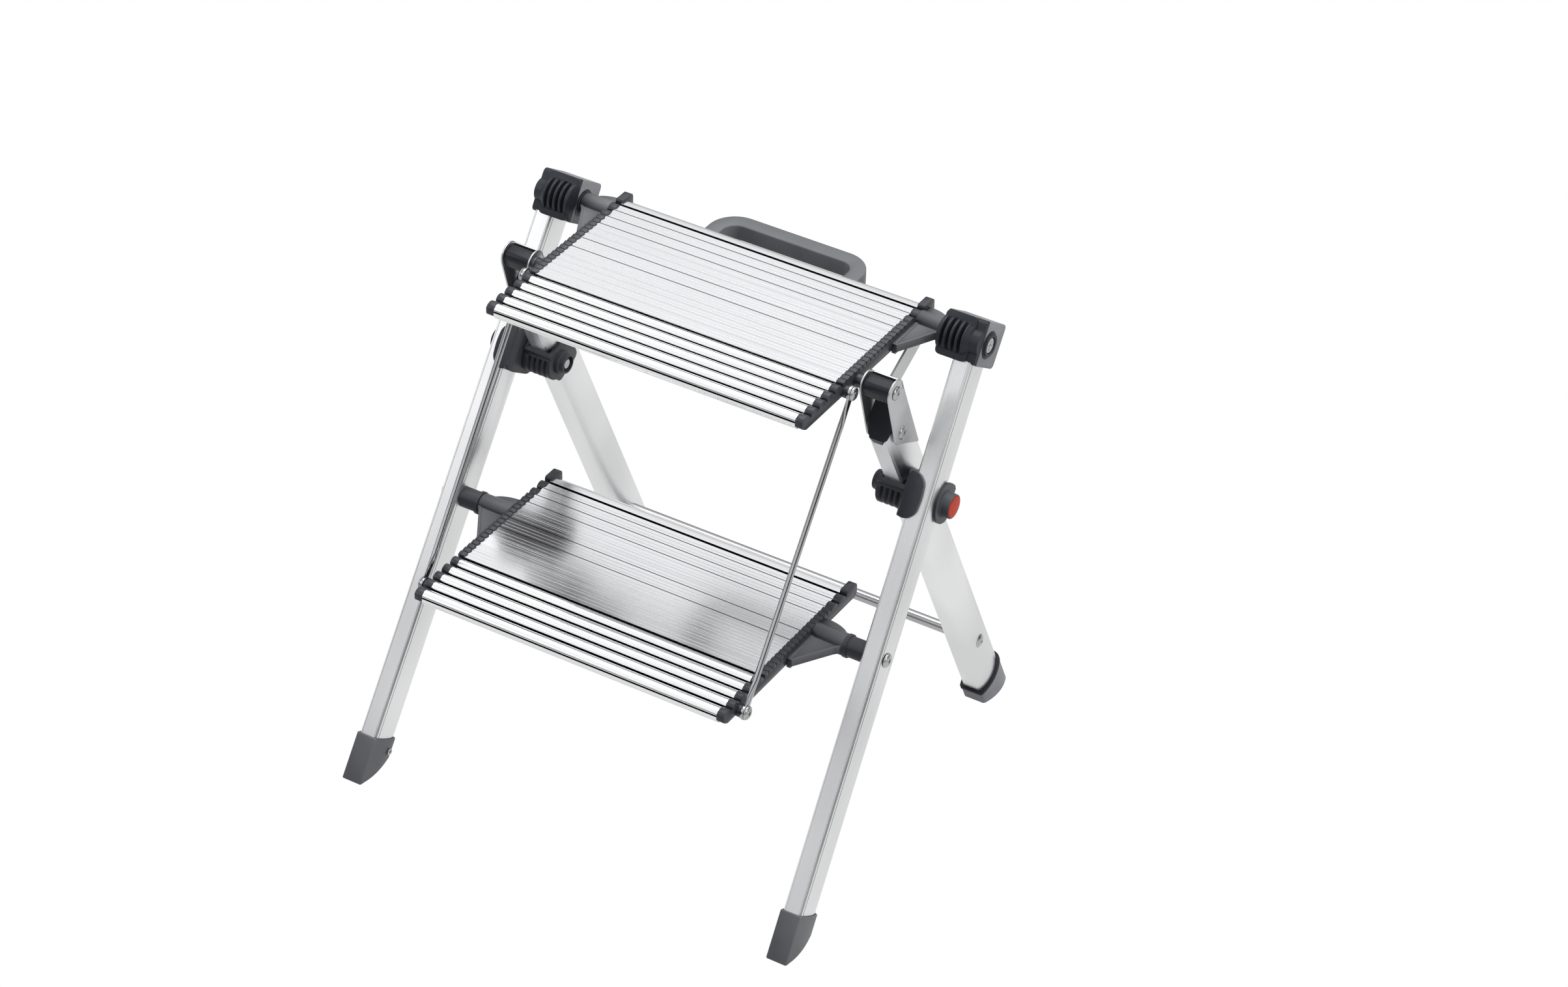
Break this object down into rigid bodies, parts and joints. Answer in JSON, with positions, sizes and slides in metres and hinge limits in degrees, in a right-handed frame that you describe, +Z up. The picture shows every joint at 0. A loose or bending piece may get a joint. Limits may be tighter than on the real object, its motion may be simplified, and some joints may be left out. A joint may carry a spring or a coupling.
{
  "type": "folding step stool",
  "caption": "Folding step stool with ribbed aluminium treads, splayed tube legs, moulded clamps, knee-locking links, side struts and a carrying loop.",
  "frame": {"origin": "on the floor, under the middle of the open stool", "axes": "+Z up, +X to the climber's right, -Y towards the climber"},
  "size_m": [0.4466, 0.4351, 0.4572],
  "materials": {
    "silver_aluminium": "satin anodised",
    "tread_aluminium": "satin anodised, brushed along X",
    "grey_plastic": "fine matt grain",
    "red_plastic": "plain, smooth",
    "plated_steel": "bright zinc or chrome plate",
    "link_steel": "satin pressed plate",
    "rivet_steel": "satin, slightly domed"
  },
  "bodies": {
    "front_frame": {"front_leg_left": "silver_aluminium", "front_leg_right": "silver_aluminium", "top_clamp_left": "grey_plastic", "top_clamp_right": "grey_plastic", "front_foot_left": "grey_plastic", "front_foot_right": "grey_plastic", "pivot_saddle_left": "grey_plastic", "pivot_saddle_right": "grey_plastic", "pivot_knob_left": "grey_plastic", "pivot_knob_right": "grey_plastic", "knob_disc_left": "red_plastic", "knob_disc_right": "red_plastic", "foot_screws": "rivet_steel", "pivot_pins": "rivet_steel", "top_shafts": "rivet_steel", "lower_shafts": "rivet_steel", "lower_bushes": "grey_plastic"},
    "rear_frame": {"rear_leg_left": "silver_aluminium", "rear_leg_right": "silver_aluminium", "rear_block_left": "grey_plastic", "rear_block_right": "grey_plastic", "rear_foot_left": "grey_plastic", "rear_foot_right": "grey_plastic", "rail_plug_left": "grey_plastic", "rail_plug_right": "grey_plastic", "rear_crossbar": "plated_steel", "crossbar_rivets": "rivet_steel"},
    "top_platform": {"top_tread": "tread_aluminium", "carry_handle": "grey_plastic", "upper_strut_rivets": "rivet_steel", "link_pins": "rivet_steel", "top_end_cap_left": "grey_plastic", "top_end_cap_right": "grey_plastic", "top_bracket_left": "grey_plastic", "top_bracket_right": "grey_plastic", "side_stay_left": "link_steel", "side_stay_right": "link_steel"},
    "lower_step": {"lower_tread": "tread_aluminium", "lower_strut_rivets": "rivet_steel", "lower_end_cap_left": "grey_plastic", "lower_end_cap_right": "grey_plastic", "lower_bracket_left": "grey_plastic", "lower_bracket_right": "grey_plastic"},
    "strut_left": {"strut_left": "plated_steel"},
    "strut_right": {"strut_right": "plated_steel"},
    "link_left": {"link_bracket_left": "link_steel", "link_roller_left": "grey_plastic", "link_rivets_left": "rivet_steel"},
    "link_right": {"link_bracket_right": "link_steel", "link_roller_right": "grey_plastic", "link_rivets_right": "rivet_steel"}
  },
  "joints": [
    {"name": "platform_fold", "type": "hinge", "parent": "front_frame", "child": "top_platform", "pos_m": [0, 0.0899, 0.4308], "axis": [1, 0, 0], "range_deg": [0, 49]},
    {"name": "rear_frame_fold", "type": "hinge", "parent": "front_frame", "child": "rear_frame", "pos_m": [0, 0.0265, 0.3128], "axis": [1, 0, 0], "range_deg": [-49.7, 0]},
    {"name": "lower_step_fold", "type": "hinge", "parent": "front_frame", "child": "lower_step", "pos_m": [0, -0.0619, 0.2105], "axis": [1, 0, 0], "range_deg": [0, 49]},
    {"name": "strut_turn_left", "type": "hinge", "parent": "top_platform", "child": "strut_left", "pos_m": [-0.155, -0.0294, 0.4308], "axis": [1, 0, 0], "range_deg": [-49, 0]},
    {"name": "link_turn_left", "type": "hinge", "parent": "top_platform", "child": "link_left", "pos_m": [-0.17106, -0.0104, 0.4308], "axis": [1, 0, 0], "range_deg": [0, 51.5]},
    {"name": "strut_turn_right", "type": "hinge", "parent": "top_platform", "child": "strut_right", "pos_m": [0.155, -0.0294, 0.4308], "axis": [1, 0, 0], "range_deg": [-49, 0]},
    {"name": "link_turn_right", "type": "hinge", "parent": "top_platform", "child": "link_right", "pos_m": [0.17106, -0.0104, 0.4308], "axis": [1, 0, 0], "range_deg": [0, 51.5]}
  ],
  "couplings": [
    {"joint": "rear_frame_fold", "follows": "platform_fold", "ratio": -1.0127},
    {"joint": "lower_step_fold", "follows": "platform_fold", "ratio": 1},
    {"joint": "strut_turn_left", "follows": "platform_fold", "ratio": -1},
    {"joint": "link_turn_left", "follows": "platform_fold", "ratio": 1.0497},
    {"joint": "strut_turn_right", "follows": "platform_fold", "ratio": -1},
    {"joint": "link_turn_right", "follows": "platform_fold", "ratio": 1.0497}
  ]
}
